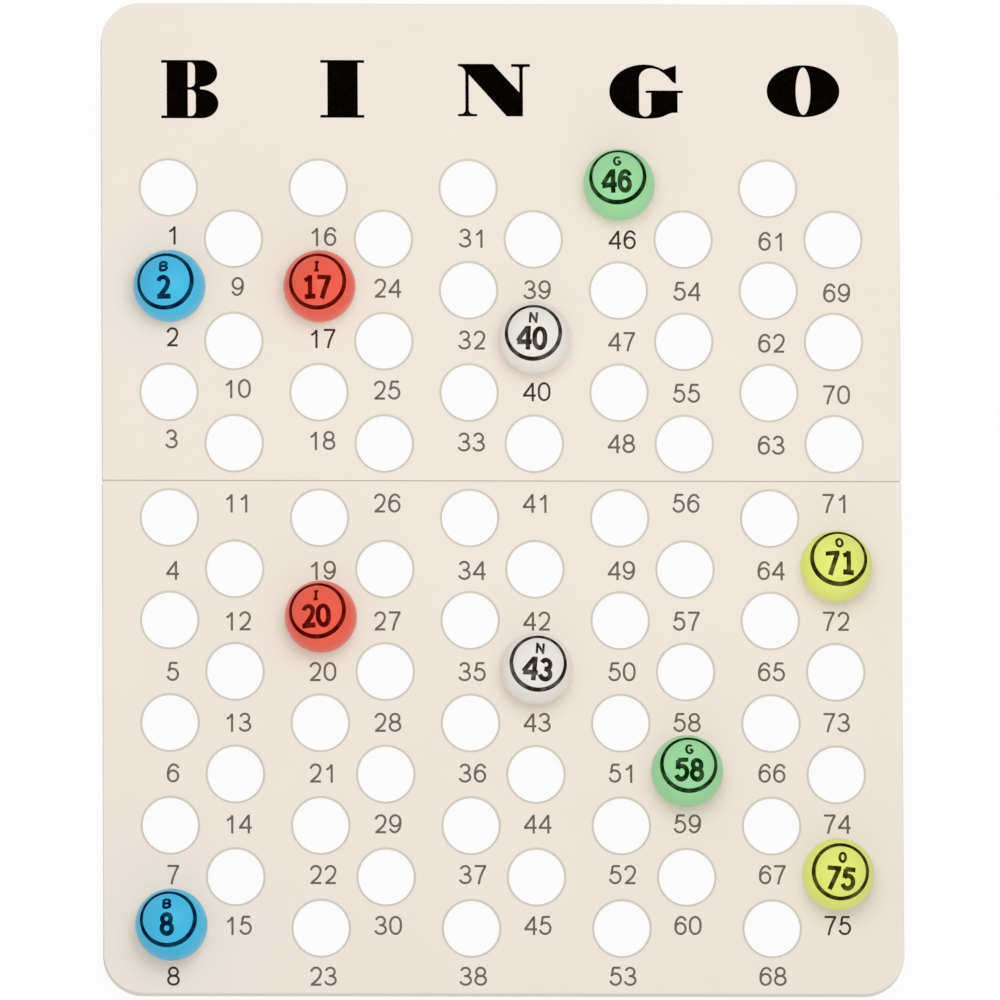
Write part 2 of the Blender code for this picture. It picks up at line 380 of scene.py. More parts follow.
# %% [markdown]
# Printed ink is thin in places: under it the plastic shows through as paler specks. This group takes an ink
# colour and lightens it in a fine mottle, and is used for the numbers, the letters and the balls' print.

# %% Ink mottle
MOTTLE_RANGE = (0.42, 0.68)
INK_ROUGHNESS = 0.42
INK_ROUGHNESS_SWING = 0.2

inked, given, result = new_group(
    "ink_mottle",
    [
        ("Ink", "NodeSocketColor", (0.02, 0.02, 0.02, 1)),
        ("Under", "NodeSocketColor", (0.8, 0.8, 0.8, 1)),
        ("Thin", "NodeSocketFloat", 0.1),
        ("Scale", "NodeSocketFloat", 600.0),
    ],
    [("Color", "NodeSocketColor"), ("Roughness", "NodeSocketFloat")],
)
where = inked.nodes.new("ShaderNodeTexCoord").outputs["Object"]
mottle = noise(inked, where, given["Scale"], 4.0)
patchy = add_node(inked, "ShaderNodeMapRange")
feed(inked, mottle, patchy.inputs["Value"])
feed(inked, MOTTLE_RANGE[0], patchy.inputs["From Min"])
feed(inked, MOTTLE_RANGE[1], patchy.inputs["From Max"])
showing = worked(inked, "MULTIPLY", patchy.outputs[0], given["Thin"])
feed(inked, mixed(inked, showing, given["Ink"], given["Under"]), result["Color"])
feed(inked, about(inked, mottle, INK_ROUGHNESS, INK_ROUGHNESS_SWING), result["Roughness"])
print("group:", inked.name)

# %% [markdown]
# Ink comes in a warm grey for the seat numbers, near black for the column letters, and a dark shade of each
# ball's own colour for its print. A few seat numbers took more ink than the rest. Ink is matte, so its shader
# has no mirror-like layer.

# %% Ink finishes
def ink_finish(name, ink, under, thin, scale):
    made, tree, shader = finish_named(name)
    film = use_group(tree, inked, {"Ink": ink, "Under": under, "Thin": thin, "Scale": scale})
    shader.inputs["Specular IOR Level"].default_value = 0.0
    feed(tree, film.outputs["Color"], shader.inputs["Base Color"])
    feed(tree, film.outputs["Roughness"], shader.inputs["Roughness"])
    return made


BALL_INKS = {
    "b": linear(2, 30, 62),
    "i": linear(90, 2, 2),
    "n": linear(46, 33, 24),
    "g": linear(4, 42, 6),
    "o": linear(46, 40, 2),
}
number_ink = ink_finish("number_ink", linear(114, 104, 96), CREAM, thin=0.06, scale=700.0)
heavy_ink = ink_finish("heavy_number_ink", linear(60, 51, 44), CREAM, thin=0.05, scale=700.0)
letter_ink = ink_finish("letter_ink", linear(6, 2, 2), CREAM, thin=0.002, scale=500.0)
ball_ink = {
    letter: ink_finish(f"ball_ink_{COLOURS[letter]}", ink, BALL_TINTS[letter], thin=0.12, scale=190.0)
    for letter, ink in BALL_INKS.items()
}
print("inks:", 3 + len(ball_ink))

# %% [markdown]
# Drawn wire has fine lines along its length. Noise that is stretched along the pin gives those lines, in the
# colour, in the roughness and as a very small relief.

# %% Steel finish
STEEL_GREY = (0.56, 0.56, 0.57)
STEEL_ROUGHNESS = 0.32
LINE_STRETCH = 0.02
LINE_SCALE = 6000.0
LINE_SWING = 0.3
LINE_DEPTH = 0.00005

steel, tree, shader = finish_named("drawn_steel")
shader.inputs["Metallic"].default_value = 1.0
where = tree.nodes.new("ShaderNodeTexCoord").outputs["Object"]
along = add_node(tree, "ShaderNodeMapping", Scale=(LINE_STRETCH, 1.0, 1.0))
feed(tree, where, along.inputs["Vector"])
lines = noise(tree, along.outputs["Vector"], LINE_SCALE, 3.0)
feed(tree, shaded(tree, STEEL_GREY, about(tree, lines, 1.0, LINE_SWING)), shader.inputs["Base Color"])
feed(tree, about(tree, lines, STEEL_ROUGHNESS, LINE_SWING), shader.inputs["Roughness"])
bump = add_node(tree, "ShaderNodeBump", Strength=0.2, Distance=LINE_DEPTH)
feed(tree, lines, bump.inputs["Height"])
feed(tree, bump.outputs["Normal"], shader.inputs["Normal"])
print("finish:", steel.name)

# %% [markdown]
# Working by hand means selecting something, then using a tool on it. These few helpers do the selecting: one
# object alone, or the vertices, edges or faces of a mesh that pass a test of their place.

# %% Selecting
NEAR = 2e-6


def take(*objects):
    """Selects only these objects, and makes the first one active."""
    if bpy.context.mode != "OBJECT":
        bpy.ops.object.mode_set(mode="OBJECT")
    bpy.ops.object.select_all(action="DESELECT")
    for item in objects:
        item.select_set(True)
    bpy.context.view_layer.objects.active = objects[0]


def let_go():
    """Leaves edit mode, so that what is added next is an object of its own."""
    take(camera)


def pick(piece, kind, test):
    """Opens a piece in edit mode with only the VERT, EDGE or FACE items selected that pass the test."""
    take(piece)
    bpy.ops.object.mode_set(mode="EDIT")
    bpy.ops.mesh.select_mode(type=kind)
    bpy.ops.mesh.select_all(action="DESELECT")
    shape = bmesh.from_edit_mesh(piece.data)
    items = {"VERT": shape.verts, "EDGE": shape.edges, "FACE": shape.faces}[kind]
    for item in items:
        if test([item.co] if kind == "VERT" else [corner.co for corner in item.verts]):
            item.select_set(True)
    bmesh.update_edit_mesh(piece.data)


def level(z):
    """A test that passes what lies wholly at one height."""
    return lambda corners: all(abs(c.z - z) < NEAR for c in corners)


print("things can be selected to within", 1000 * NEAR, "mm")

# %% [markdown]
# The next helpers are the steps that come back on most pieces: putting a new shape's place into its mesh, using
# a modifier, cutting one shape from another or fusing it on, copying a shape to another place, lifting it, and
# turning faces outwards. The last one gives a finished piece its material and says which body it rides on.

# %% Shaping
def named(name):
    """Gives the object that was just added its name, and puts its place into its mesh."""
    made = bpy.context.object
    made.name = made.data.name = name
    take(made)
    bpy.ops.object.transform_apply(location=True, rotation=True, scale=True)
    return made


def modify(piece, kind, **settings):
    """Adds a modifier, sets it and applies it."""
    take(piece)
    bpy.ops.object.modifier_add(type=kind)
    step = piece.modifiers[-1]
    for name, value in settings.items():
        setattr(step, name, value)
    bpy.ops.object.modifier_apply(modifier=step.name)


def cut(piece, cutter, operation="DIFFERENCE", material_mode="INDEX"):
    """Cuts one shape from a piece, or fuses it on, and throws the helper away."""
    modify(piece, "BOOLEAN", operation=operation, object=cutter, solver="EXACT", material_mode=material_mode)
    bpy.data.objects.remove(cutter)


def joined(shapes):
    take(*shapes)
    bpy.ops.object.join()
    return shapes[0]


def copied(master, name, place):
    """A copy of a shape, with its own mesh, at another place."""
    take(master)
    bpy.ops.object.duplicate()
    bpy.context.object.location = place
    return named(name)


def lifted(piece, z):
    """Lifts a flat piece to a height, and puts that into its mesh."""
    piece.location.z = z
    take(piece)
    bpy.ops.object.transform_apply(location=True)


def outward(piece):
    """Merges doubled points and turns every face outwards."""
    take(piece)
    bpy.ops.object.mode_set(mode="EDIT")
    bpy.ops.mesh.select_all(action="SELECT")
    bpy.ops.mesh.remove_doubles(threshold=NEAR)
    bpy.ops.mesh.normals_make_consistent(inside=False)
    bpy.ops.object.mode_set(mode="OBJECT")


def smooth(piece, degrees):
    take(piece)
    bpy.ops.object.shade_smooth_by_angle(angle=math.radians(degrees))


def settle(piece, finish, body, node=None):
    """Gives a piece its material, the body that it rides on and the solid that it stands for."""
    if not piece.data.materials:
        piece.data.materials.append(finish)
    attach(piece, body)
    if node:
        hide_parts(node)


print("shaping helpers ready")

# %% [markdown]
# Each half of the board is an open tray. It starts as a flat plane at the printed face, whose corners are rounded
# and which is drawn down to the rim as a slab. A second, smaller slab is the core of the mould: taking it away
# from below leaves the plate and its skirt. A small round along the top edge catches the light.

# %% Trays
BOARD_WIDTH = 0.420
UPPER_DEPTH = 0.2545
LOWER_DEPTH = 0.2724
SEAM_GAP = 0.0003
RIM_Z = 0.0035
PLATE = 0.003
UNDER_PLATE = FACE_Z - PLATE
SKIRT = 0.0025
CORNER_RADIUS = 0.021
SEAM_CORNER_RADIUS = 0.0015
LEAST_RADIUS = 0.0005
BY_THE_SEAM = 0.01
TOP_ROUND = 0.00045
RIM_ROUND = 0.0004
PAST = 0.001


def slab(name, side, depth, inset, top, bottom):
    """A rounded slab on one side of the seam (+1 is up the board), drawn in from the outline by an inset."""
    let_go()
    length = depth - SEAM_GAP / 2 - 2 * inset
    middle = SEAM_Y + side * (SEAM_GAP / 2 + inset + length / 2)
    bpy.ops.mesh.primitive_plane_add(size=1, location=(0, middle, top))
    bpy.context.object.scale = (BOARD_WIDTH - 2 * inset, length, 1)
    made = named(name)
    seam_radius = max(SEAM_CORNER_RADIUS - inset, LEAST_RADIUS)
    for at_seam, radius, steps in ((False, CORNER_RADIUS - inset, 20), (True, seam_radius, 4)):
        pick(made, "VERT", lambda c: (abs(c[0].y - SEAM_Y) < BY_THE_SEAM) == at_seam)
        bpy.ops.mesh.bevel(offset=radius, segments=steps, affect="VERTICES")
    bpy.ops.mesh.select_all(action="SELECT")
    bpy.ops.mesh.extrude_region_move(TRANSFORM_OT_translate={"value": (0, 0, bottom - top)})
    outward(made)
    return made


def tray_blank(name, side, depth):
    tray = slab(name, side, depth, 0, FACE_Z, RIM_Z)
    for height, radius, steps in ((FACE_Z, TOP_ROUND, 4), (RIM_Z, RIM_ROUND, 2)):
        pick(tray, "EDGE", level(height))
        bpy.ops.mesh.bevel(offset=radius, segments=steps, affect="EDGES")
    cut(tray, slab("core", side, depth, SKIRT, UNDER_PLATE, RIM_Z - PAST))
    tray.data.materials.append(cream_plastic)
    return tray


upper_tray = tray_blank("upper_tray", 1, UPPER_DEPTH)
lower_tray = tray_blank("lower_tray", -1, LOWER_DEPTH)
print("tray faces:", len(upper_tray.data.polygons), len(lower_tray.data.polygons))

# %% [markdown]
# Under the plate, thin ribs between the letters keep it flat, and round bosses carry the feet. They start as
# boxes and short cylinders that reach a little into the plate and the skirt, so that they fuse into one moulding
# with it. The ribs' lower edges are rounded, as a mould leaves them.

# %% Ribs and bosses
LETTER_PITCH = 0.0789
RIB_WIDTH = 0.0018
RIB_HEIGHT = 0.004
RIB_ROUND = 0.0005
BOSS_RADIUS = 0.006
BOSS_Z = 0.004
UPPER_FEET = ((-0.1965, 0.2440), (0.1965, 0.2440), (-0.200, 0.012), (0.200, 0.012))
LOWER_FEET = ((-0.1965, -0.2619), (0.1965, -0.2619), (-0.200, -0.034), (0.200, -0.034))


def block(low, high):
    """A box between two corners."""
    let_go()
    bpy.ops.mesh.primitive_cube_add(size=1, location=[(a + b) / 2 for a, b in zip(low, high)])
    bpy.context.object.scale = [b - a for a, b in zip(low, high)]
    return named("block")


def rib(x, ends):
    low = UNDER_PLATE - RIB_HEIGHT
    made = block((x - RIB_WIDTH / 2, ends[0], low), (x + RIB_WIDTH / 2, ends[1], UNDER_PLATE + PAST))
    pick(made, "EDGE", lambda c: level(low)(c) and abs(c[0].x - c[1].x) < NEAR)
    bpy.ops.mesh.bevel(offset=RIB_ROUND, segments=2, affect="EDGES")
    return made


def boss(x, y):
    let_go()
    top = UNDER_PLATE + PAST
    bpy.ops.mesh.primitive_cylinder_add(
        vertices=32, radius=BOSS_RADIUS, depth=top - BOSS_Z, location=(x, SEAM_Y + y, (top + BOSS_Z) / 2)
    )
    return named("boss")


TRAYS = ((upper_tray, 1, UPPER_DEPTH, UPPER_FEET), (lower_tray, -1, LOWER_DEPTH, LOWER_FEET))
for tray, side, depth, feet in TRAYS:
    inner, outer = SEAM_GAP / 2 + SKIRT - PAST, depth - SKIRT + PAST
    ends = sorted((SEAM_Y + side * inner, SEAM_Y + side * outer))
    ribs = [rib(place * LETTER_PITCH, ends) for place in (-1.5, -0.5, 0.5, 1.5)]
    cut(tray, joined(ribs + [boss(x, y) for x, y in feet]), "UNION")
    print(tray.name, "ribs:", len(ribs), "bosses:", len(feet))

# %% [markdown]
# The seam wall has hinge knuckles at three places. The upper tray has the middle knuckle of each three and the
# lower one the outer two, and each wall is notched where the other's knuckles turn. The knuckles are round bars
# fused to the wall, and a thinner bar through all three takes out the bore for the pin.

# %% Hinge knuckles
AXIS_Z = 0.0033
KNUCKLE_RADIUS = 0.003
KNUCKLE_LENGTH = 0.016
KNUCKLE_GAP = 0.0004
NOTCH_CLEARANCE = 0.0004
PIN_BORE_RADIUS = 0.00135
PIN_BORE_REACH = 0.026
PIN_SIDES = 24
HINGE_PLACES = (-0.150, 0.0, 0.150)


def bar(x0, x1, radius, sides=32):
    """A round bar along the hinge axis."""
    let_go()
    middle = ((x0 + x1) / 2, SEAM_Y, AXIS_Z)
    bpy.ops.mesh.primitive_cylinder_add(
        vertices=sides, radius=radius, depth=x1 - x0, location=middle, rotation=(0, math.pi / 2, 0)
    )
    return named("bar")


def knuckle_spans(side):
    step = KNUCKLE_LENGTH + KNUCKLE_GAP
    offsets = [0] if side > 0 else [-step, step]
    return [(x + o - KNUCKLE_LENGTH / 2, x + o + KNUCKLE_LENGTH / 2) for x in HINGE_PLACES for o in offsets]


for tray, side in ((upper_tray, 1), (lower_tray, -1)):
    ends = sorted((SEAM_Y, SEAM_Y + side * (SEAM_GAP / 2 + SKIRT + PAST)))
    notches = []
    for x0, x1 in knuckle_spans(-side):
        low = (x0 - NOTCH_CLEARANCE, ends[0], RIM_Z - PAST)
        notches.append(block(low, (x1 + NOTCH_CLEARANCE, ends[1], AXIS_Z + KNUCKLE_RADIUS + NOTCH_CLEARANCE)))
    cut(tray, joined(notches))
    cut(tray, joined([bar(x0, x1, KNUCKLE_RADIUS) for x0, x1 in knuckle_spans(side)]), "UNION")
    bores = [bar(x - PIN_BORE_REACH, x + PIN_BORE_REACH, PIN_BORE_RADIUS, PIN_SIDES) for x in HINGE_PLACES]
    cut(tray, joined(bores))
    print(tray.name, "knuckles:", len(knuckle_spans(side)), "faces:", len(tray.data.polygons))

# %% [markdown]
# A seat is a round hole. Its mouth opens out to follow the ball and is eased where it meets the face, and below
# its narrowest place it widens a little, so that it came out of the mould. The shape to take away is turned like
# a wooden peg: its half section is drawn once, spun about its axis, and copied to every seat of a tray. The peg
# wears the darker cream that is painted shade, and the Boolean hands that on to the cut faces of each mouth.

# %% Seats
LETTERS = 5
LETTER_SEATS = 15
LEFT_SEATS = 8
ROWS_ABOVE_SEAM = 3
COLUMN_PITCH = 0.0342
FIRST_ROW = 0.0198
HALF_ROW = 0.02725
SEAT_UNDER = 0.01505
SEAT_STEPS = 56
SEAT_MOUTH = ((0.01455, 0.00062), (0.0151, 0.0003), (0.01545, 0.00012), (0.0157, 0.0))


def seat_place(number):
    """The x of a seat, and its y from the seam, for a seat number from 1 to 75."""
    letter, place = divmod(number - 1, LETTER_SEATS)
    right = place >= LEFT_SEATS
    row = place - LEFT_SEATS if right else place
    x = (letter - LETTERS // 2) * LETTER_PITCH + (COLUMN_PITCH if right else -COLUMN_PITCH) / 2
    if row < ROWS_ABOVE_SEAM:
        return x, FIRST_ROW + (2 * (ROWS_ABOVE_SEAM - 1 - row) + (0 if right else 1)) * HALF_ROW
    return x, -FIRST_ROW - (2 * (row - ROWS_ABOVE_SEAM) + (1 if right else 0)) * HALF_ROW


def lathe(name, section, steps):
    """Spins a half section of (radius, z) points about the vertical axis."""
    mesh = bpy.data.meshes.new(name)
    mesh.from_pydata([(r, 0, z) for r, z in section], [(i, i + 1) for i in range(len(section) - 1)], [])
    turned = bpy.data.objects.new(name, mesh)
    bpy.context.collection.objects.link(turned)
    pick(turned, "EDGE", lambda c: True)
    bpy.ops.mesh.spin(steps=steps, angle=2 * math.pi, center=(0, 0, 0), axis=(0, 0, 1))
    outward(turned)
    return turned


mouth = [(radius, FACE_Z - depth) for radius, depth in SEAT_MOUTH]
peg_section = [(0, UNDER_PLATE - PAST), (SEAT_UNDER, UNDER_PLATE - PAST), (SEAT_UNDER, UNDER_PLATE), *mouth]
peg_section += [(SEAT_MOUTH[-1][0], FACE_Z + PAST), (0, FACE_Z + PAST)]
peg = lathe("seat_peg", peg_section, SEAT_STEPS)
# The peg's material is the painted shade of the seat mouths, which the cut hands on to the tray.
peg.data.materials.append(seat_shade_plastic)
SEATS = {number: seat_place(number) for number in range(1, LETTERS * LETTER_SEATS + 1)}
for tray, board, side in ((upper_tray, "upper", 1), (lower_tray, "lower", -1)):
    pegs = [copied(peg, "seat_peg", (x, SEAM_Y + y, 0)) for x, y in SEATS.values() if y * side > 0]
    seats = len(pegs)
    cut(tray, joined(pegs), material_mode="TRANSFER")
    outward(tray)
    smooth(tray, 32)
    modify(tray, "WEIGHTED_NORMAL", mode="FACE_AREA", keep_sharp=True)
    settle(tray, cream_plastic, f"{board}_board", f"{board}_panel")
    print(tray.name, "seats:", seats, "faces:", len(tray.data.polygons), [m.name for m in tray.data.materials])
bpy.data.objects.remove(peg)

# %% [markdown]
# The numbers under the seats are a plain light sans. Each figure is a few strokes in a box one unit wide and
# high. Straight lines, parts of ellipses and chains of the two are enough for all ten.

# %% Figures drawn as strokes
DEGREES_A_STEP = 15


def arc(centre, radius, start, end, steps):
    """Points on an arc, with its angles in degrees. A pair of radii gives part of an ellipse."""
    across, up = radius if isinstance(radius, tuple) else (radius, radius)
    angles = [math.radians(start + (end - start) * i / steps) for i in range(steps + 1)]
    return [(centre[0] + across * math.cos(a), centre[1] + up * math.sin(a)) for a in angles]


def line(*points):
    return list(points), False


def bow(centre, radius, start, end):
    """Part of an ellipse, or all of it, as a stroke."""
    steps = max(4, round(abs(end - start) / DEGREES_A_STEP))
    points = arc(centre, radius, start, end, steps)
    whole = abs(end - start) >= 360
    return (points[:-1] if whole else points), whole


def chain(*parts):
    """Strokes that follow on from each other, as one."""
    return [point for points, _ in parts for point in points], False


def half_turn(strokes):
    return [([(1 - x, 1 - y) for x, y in points], whole) for points, whole in strokes]


FIGURES = {
    "0": [(arc((0.5, 0.60), (0.5, 0.40), 0, 180, 12) + arc((0.5, 0.40), (0.5, 0.40), 180, 360, 12), True)],
    "1": [line((0.64, -0.07), (0.64, 1)), line((0.64, 0.985), (0.52, 0.86), (0.34, 0.76), (0.14, 0.69))],
    "2": [
        chain(
            bow((0.5, 0.715), (0.46, 0.285), 172, -28),
            line((0.80, 0.43), (0.58, 0.27), (0.28, 0.11), (0.07, 0.0)),
        ),
        line((0, 0), (1, 0)),
    ],
    "3": [
        chain(bow((0.46, 0.755), (0.42, 0.245), 165, -90), line((0.33, 0.51))),
        bow((0.46, 0.255), (0.51, 0.255), 90, -168),
    ],
    "4": [line((0.81, -0.07), (0.81, 1.03)), line((0.79, 0.98), (-0.03, 0.28)), line((-0.11, 0.27), (1.09, 0.27))],
    "5": [line((0.22, 1), (0.94, 1)), line((0.25, 1.0), (0.12, 0.50)), bow((0.47, 0.33), (0.51, 0.33), 145, -165)],
    "6": [bow((0.5, 0.32), (0.48, 0.32), 0, 360), bow((0.57, 0.44), (0.56, 0.56), 205, 38)],
    "7": [line((-0.04, 1), (1.05, 1)), line((0.99, 1.0), (0.73, 0.70), (0.49, 0.34), (0.33, -0.07))],
    "8": [bow((0.5, 0.755), (0.42, 0.245), 0, 360), bow((0.5, 0.265), (0.5, 0.265), 0, 360)],
}
FIGURES["9"] = half_turn(FIGURES["6"])
print("figures:", len(FIGURES), "strokes:", sum(len(strokes) for strokes in FIGURES.values()))

# %% [markdown]
# To turn strokes into print, they are laid out at their real size and a flat nib is swept along them, as the
# bevel of a curve. That keeps every line the same width. Where two strokes cross, they would share one surface
# and flicker, so each lies a few millionths of a metre above the last, in four layers.

# %% Sweeping a nib
INK_LAYER = 0.000003
INK_LAYERS = 4


def laid_out(text, glyphs, centre, size, advance, nib):
    """The strokes of a word: size is the figures' outside width and height, with the nib's width taken off."""
    wide, high = size[0] - nib, size[1] - nib
    strokes = []
    for i, letter in enumerate(text):
        left = centre[0] + (i - (len(text) - 1) / 2) * advance - wide / 2
        low = centre[1] - high / 2
        for points, whole in glyphs[letter]:
            strokes.append(([(left + x * wide, low + y * high) for x, y in points], whole))
    return strokes


def curve_of(name, strokes, lift):
    """A curve object with one run of straight steps for each stroke."""
    path = bpy.data.curves.new(name, "CURVE")
    for i, (points, whole) in enumerate(strokes):
        run = path.splines.new("POLY")
        run.points.add(len(points) - 1)
        run.use_cyclic_u = whole
        for point, (x, y) in zip(run.points, points):
            point.co = (x, y, i % INK_LAYERS * lift, 1)
    made = bpy.data.objects.new(name, path)
    bpy.context.collection.objects.link(made)
    return made


def face_up(flat):
    """Turns every face of a flat print upwards."""
    pick(flat, "FACE", lambda c: (c[1] - c[0]).cross(c[2] - c[1]).z < 0)
    bpy.ops.mesh.flip_normals()
    take(flat)


def swept(name, strokes, nib):
    """Sweeps a flat nib along strokes, and makes the result a mesh."""
    tip = curve_of("nib", [line((-nib / 2, 0), (0, 0), (nib / 2, 0))], 0)
    made = curve_of(name, strokes, INK_LAYER)
    made.data.dimensions = "3D"
    made.data.twist_mode = "Z_UP"
    made.data.bevel_mode = "OBJECT"
    made.data.bevel_object = tip
    take(made)
    bpy.ops.object.convert(target="MESH")
    bpy.data.objects.remove(tip)
    face_up(made)
    return made


print("ink layers are", 1000 * INK_LAYER, "mm apart")

# %% [markdown]
# Every seat has its number printed below it. The ones that fall on the seam move down onto the lower tray. The
# print doesn't follow the seats quite exactly: the upper tray's is turned by half a degree, and the lower
# tray's is about one part in a hundred short. The ink is a film a few hundredths of a millimetre thick, and a
# part of that is sunk into the face.

# %% Printed seat numbers
FIGURE_SIZE = (0.0067, 0.0102)
FIGURE_ADVANCE = 0.0077
FIGURE_NIB = 0.00117
LABEL_RIGHT = 0.0020
LABEL_BELOW = 0.0265
SEAM_LABEL_BELOW = 0.0299
INK = 0.00006
NUMBERS_SUNK = INK / 3
SEAM_LABEL = 11
HEAVY_LABELS = (1, 2, 8, 17, 40, 46, 75)
# How a tray's print drifts, across and up: a share of x, a share of y, and a shift
UPPER_DRIFT = ((0.999, 0.0096, -0.0010), (-0.0087, 0.9975, 0.0))
LOWER_DRIFT = ((0.9965, 0.0014, -0.0009), (0.0009, 0.9885, -0.0019))


def label_place(number):
    """Where a seat's number is printed, from the middle of the seam."""
    x, y = SEATS[number]
    x, y = x + LABEL_RIGHT, y - (SEAM_LABEL_BELOW if number % LETTER_SEATS == SEAM_LABEL else LABEL_BELOW)
    drift = UPPER_DRIFT if y > 0 else LOWER_DRIFT
    return [of_x * x + of_y * y + shift for of_x, of_y, shift in drift]


def number_print(name, numbers):
    """The print of some seat numbers, as one film of ink on the face."""
    strokes = []
    for number in numbers:
        x, y = label_place(number)
        strokes += laid_out(str(number), FIGURES, (x, SEAM_Y + y), FIGURE_SIZE, FIGURE_ADVANCE, FIGURE_NIB)
    made = swept(name, strokes, FIGURE_NIB)
    lifted(made, FACE_Z - NUMBERS_SUNK)
    modify(made, "SOLIDIFY", thickness=INK, offset=1.0)
    return made


for board, side in (("upper", 1), ("lower", -1)):
    here = [number for number in SEATS if label_place(number)[1] * side > 0]
    for weight, ink, heavy in (("numbers", number_ink, False), ("heavy_numbers", heavy_ink, True)):
        made = number_print(f"{board}_{weight}", [n for n in here if (n in HEAVY_LABELS) == heavy])
        settle(made, ink, f"{board}_board")
        print(made.name, "faces:", len(made.data.polygons))

# %% [markdown]
# The column letters are a fat face: very thick stems, hairline serifs and narrow openings. Letters like these
# are not one width of line, so each is drawn as an outline with its openings inside. One unit is the letter's
# height.

# %% Column letter outlines
HAIR = 0.048


def fat_b():
    bowls = [(0, 0), (0.683, 0), *arc((0.683, 0.257), (0.287, 0.257), -90, 0, 8)]
    bowls += [*arc((0.668, 0.257), (0.302, 0.243), 0, 90, 8), (0.655, 0.52), (0.668, 0.541)]
    bowls += [*arc((0.668, 0.772), (0.283, 0.231), -90, 0, 8), *arc((0.700, 0.772), (0.251, 0.228), 0, 90, 8)]
    outline = [*bowls, (0, 1), (0, 1 - HAIR), (0.093, 1 - HAIR), (0.093, HAIR), (0, HAIR)]
    low = [(0.451, 0.04), *arc((0.50, 0.14), (0.084, 0.10), -90, 0, 6)]
    low += [*arc((0.50, 0.39), (0.084, 0.10), 0, 90, 6), (0.451, 0.49)]
    high = [(0.451, 0.535), *arc((0.49, 0.62), (0.082, 0.085), -90, 0, 6)]
    high += [*arc((0.49, 0.86), (0.082, 0.10), 0, 90, 6), (0.451, 0.96)]
    return [outline, low, high]


def fat_i():
    lower = [(0.121, HAIR), (0, HAIR), (0, 0), (0.75, 0), (0.75, HAIR), (0.64, HAIR)]
    return [lower + [(x, 1 - y) for x, y in lower[::-1]]]


def fat_n():
    outline = [(0, 1), (0.659, 1), (1.154, 0.46), (1.154, 0.89), *arc((1.115, 0.905), 0.039, 0, 90, 4)]
    outline += [(1.002, 0.945), (1.002, 1.0), (1.355, 1.0), (1.355, 0.945), *arc((1.260, 0.905), 0.039, 90, 180, 4)]
    outline += [(1.221, 0), (0.916, 0), (0.203, 0.80), *arc((0.281, 0.125), 0.078, 180, 270, 5)]
    outline += [(0.360, 0.045), (0.360, 0), (0, 0), (0, 0.045), *arc((0.061, 0.125), 0.078, -90, 0, 5)]
    outline += [(0.139, 0.84), *arc((0.0, 0.81), (0.143, 0.148), 12, 90, 6)]
    return [outline]


def fat_g():
    outline = [*arc((0.668, 0.477), (0.668, 0.523), 270, 76, 24), (0.96, 0.937), (1.034, 0.901)]
    outline += [(1.271, 0.986), (1.271, 0.634), (1.245, 0.636), (1.20, 0.665), (1.13, 0.748), (1.034, 0.835)]
    outline += [(0.937, 0.898), *arc((0.80, 0.73), (0.231, 0.197), 75, 180, 10)]
    outline += [*arc((0.683, 0.112), (0.114, 0.114), 180, 360, 12), (0.797, 0.450), (0.695, 0.450), (0.695, 0.498)]
    outline += [(1.402, 0.498), (1.402, 0.450), (1.300, 0.450), (1.300, 0.07), (1.20, 0.068), (1.13, 0.046)]
    outline += [(1.034, 0.0), (0.93, -0.030), (0.80, -0.042)]
    return [outline]


def fat_o():
    return [arc((0.69, 0.5), (0.69, 0.5), 0, 360, 48)[:-1], arc((0.69, 0.5), (0.14, 0.455), 0, 360, 36)[:-1]]


print("points in the outline of b:", sum(len(loop) for loop in fat_b()))

# %% [markdown]
# Each outline is a closed flat curve at its place in the header. A filled curve leaves the inner loops open, and
# its extrusion gives the ink its thickness. It is then made a mesh and laid on the face.

# %% Column letters
LETTERS_SUNK = INK / 4
# Each letter's outline, left edge, base and height, in metres from the middle of the seam
COLUMN_LETTERS = {
    "b": (fat_b, -0.1785, 0.1930, 0.0311),
    "i": (fat_i, -0.0947, 0.1935, 0.0308),
    "n": (fat_n, -0.0222, 0.1944, 0.0280),
    "g": (fat_g, 0.0575, 0.1946, 0.0277),
    "o": (fat_o, 0.1405, 0.1943, 0.0278),
}
for letter, (draw, left, base, height) in COLUMN_LETTERS.items():
    loops = [([(left + x * height, SEAM_Y + base + y * height) for x, y in loop], True) for loop in draw()]
    made = curve_of(f"column_letter_{letter}", loops, 0)
    made.data.dimensions = "2D"
    made.data.fill_mode = "BOTH"
    made.data.extrude = INK / 2
    take(made)
    bpy.ops.object.convert(target="MESH")
    lifted(made, FACE_Z + (INK / 2 - LETTERS_SUNK))
    outward(made)
    settle(made, letter_ink, "upper_board")
    print(made.name, "faces:", len(made.data.polygons))

# %% [markdown]
# A ball is a hollow plastic shell, moulded in two halves that leave a fine parting line round its middle. One
# ball is made at the origin from a sphere: its middle edge loop is widened to a narrow band and drawn in.

# %% One plain ball
BALL_RADIUS = 0.01905
PRINT_ROOM = 0.00008
SHELL_RADIUS = BALL_RADIUS - PRINT_ROOM
PARTING_WIDTH = 0.00022
PARTING_DEPTH = 0.00008

let_go()
bpy.ops.mesh.primitive_uv_sphere_add(segments=96, ring_count=48, radius=SHELL_RADIUS, location=(0, 0, 0))
plain_ball = named("plain_ball")
pick(plain_ball, "EDGE", level(0.0))
bpy.ops.mesh.bevel(offset=PARTING_WIDTH, segments=2, affect="EDGES")
pick(plain_ball, "VERT", level(0.0))
draw_in = 1 - PARTING_DEPTH / SHELL_RADIUS
bpy.ops.transform.resize(value=(draw_in, draw_in, 1), center_override=(0, 0, 0))
take(plain_ball)
bpy.ops.object.shade_smooth()
print("ball faces:", len(plain_ball.data.polygons))

